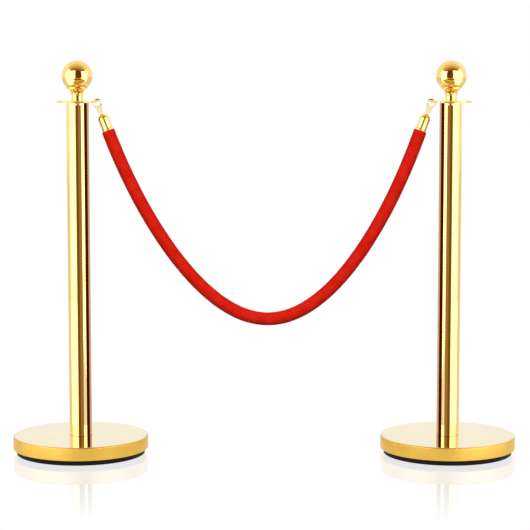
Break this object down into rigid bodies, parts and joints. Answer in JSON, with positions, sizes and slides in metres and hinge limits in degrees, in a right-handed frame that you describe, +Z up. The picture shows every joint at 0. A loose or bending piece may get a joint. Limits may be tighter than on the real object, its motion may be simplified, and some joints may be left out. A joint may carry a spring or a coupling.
{
  "type": "rope stanchion barrier",
  "caption": "Two free-standing ball-top posts on round weighted bases, joined by a hanging velvet rope that hooks into their top plates.",
  "frame": {"origin": "on the floor, midway between the two posts", "axes": "+Z up, +X from the left post to the right post, -Y towards the side that faces the queue"},
  "size_m": [1.155, 0.31, 0.9007],
  "materials": {
    "polished_gold": "mirror-polished gold plating",
    "base_gold": "gold plating, polished on top and satin round the wall",
    "hook_brass": "polished cast brass",
    "zinc_steel": "zinc-plated steel",
    "cast_iron": "black-painted casting",
    "black_rubber": "matt moulded rubber",
    "red_velvet": "short-pile velvet",
    "cotton_cord": "raw cotton"
  },
  "bodies": {
    "posts": {"left_rubber_ring": "black_rubber", "left_base_weight": "cast_iron", "left_base_cover": "base_gold", "left_base_bolt": "zinc_steel", "left_base_washer": "zinc_steel", "left_post_tube": "polished_gold", "left_foot_plug": "zinc_steel", "left_top_plug": "zinc_steel", "left_rope_plate": "polished_gold", "left_finial_cup": "polished_gold", "left_ball_finial": "polished_gold", "left_ball_bush": "zinc_steel", "left_finial_stud": "zinc_steel", "right_rubber_ring": "black_rubber", "right_base_weight": "cast_iron", "right_base_cover": "base_gold", "right_base_bolt": "zinc_steel", "right_base_washer": "zinc_steel", "right_post_tube": "polished_gold", "right_foot_plug": "zinc_steel", "right_top_plug": "zinc_steel", "right_rope_plate": "polished_gold", "right_finial_cup": "polished_gold", "right_ball_finial": "polished_gold", "right_ball_bush": "zinc_steel", "right_finial_stud": "zinc_steel"},
    "rope": {"velvet_rope": "red_velvet", "rope_core": "cotton_cord", "left_rope_end": "cotton_cord", "right_rope_end": "cotton_cord", "left_ferrule": "polished_gold", "right_ferrule": "polished_gold", "left_ferrule_screw": "zinc_steel", "right_ferrule_screw": "zinc_steel"},
    "left_hook": {"left_hook_body": "hook_brass", "left_gate_pin": "hook_brass", "left_gate_spring": "zinc_steel", "left_swivel_stem": "hook_brass", "left_swivel_washer": "zinc_steel"},
    "left_gate": {"left_hook_gate": "hook_brass"},
    "right_hook": {"right_hook_body": "hook_brass", "right_gate_pin": "hook_brass", "right_gate_spring": "zinc_steel", "right_swivel_stem": "hook_brass", "right_swivel_washer": "zinc_steel"},
    "right_gate": {"right_hook_gate": "hook_brass"}
  },
  "joints": [
    {"name": "rope_swing", "type": "hinge", "parent": "posts", "child": "rope", "pos_m": [0, 0, 0.8124], "axis": [1, 0, 0], "range_deg": [-15, 15]},
    {"name": "left_hook_swivel", "type": "hinge", "parent": "rope", "child": "left_hook", "pos_m": [-0.3679, 0, 0.7789], "axis": [-0.3584, 0, 0.9336], "range_deg": [-7, 7]},
    {"name": "right_hook_swivel", "type": "hinge", "parent": "rope", "child": "right_hook", "pos_m": [0.3679, 0, 0.7789], "axis": [0.3584, 0, 0.9336], "range_deg": [-7, 7]},
    {"name": "left_gate_pivot", "type": "hinge", "parent": "left_hook", "child": "left_gate", "pos_m": [-0.37408, 0, 0.78885], "axis": [0, 1, 0], "range_deg": [0, 26], "stiffness_Nm_per_rad": 0.04, "springref_deg": -28.65},
    {"name": "right_gate_pivot", "type": "hinge", "parent": "right_hook", "child": "right_gate", "pos_m": [0.37408, 0, 0.78885], "axis": [0, -1, 0], "range_deg": [0, 26], "stiffness_Nm_per_rad": 0.04, "springref_deg": -28.65}
  ]
}
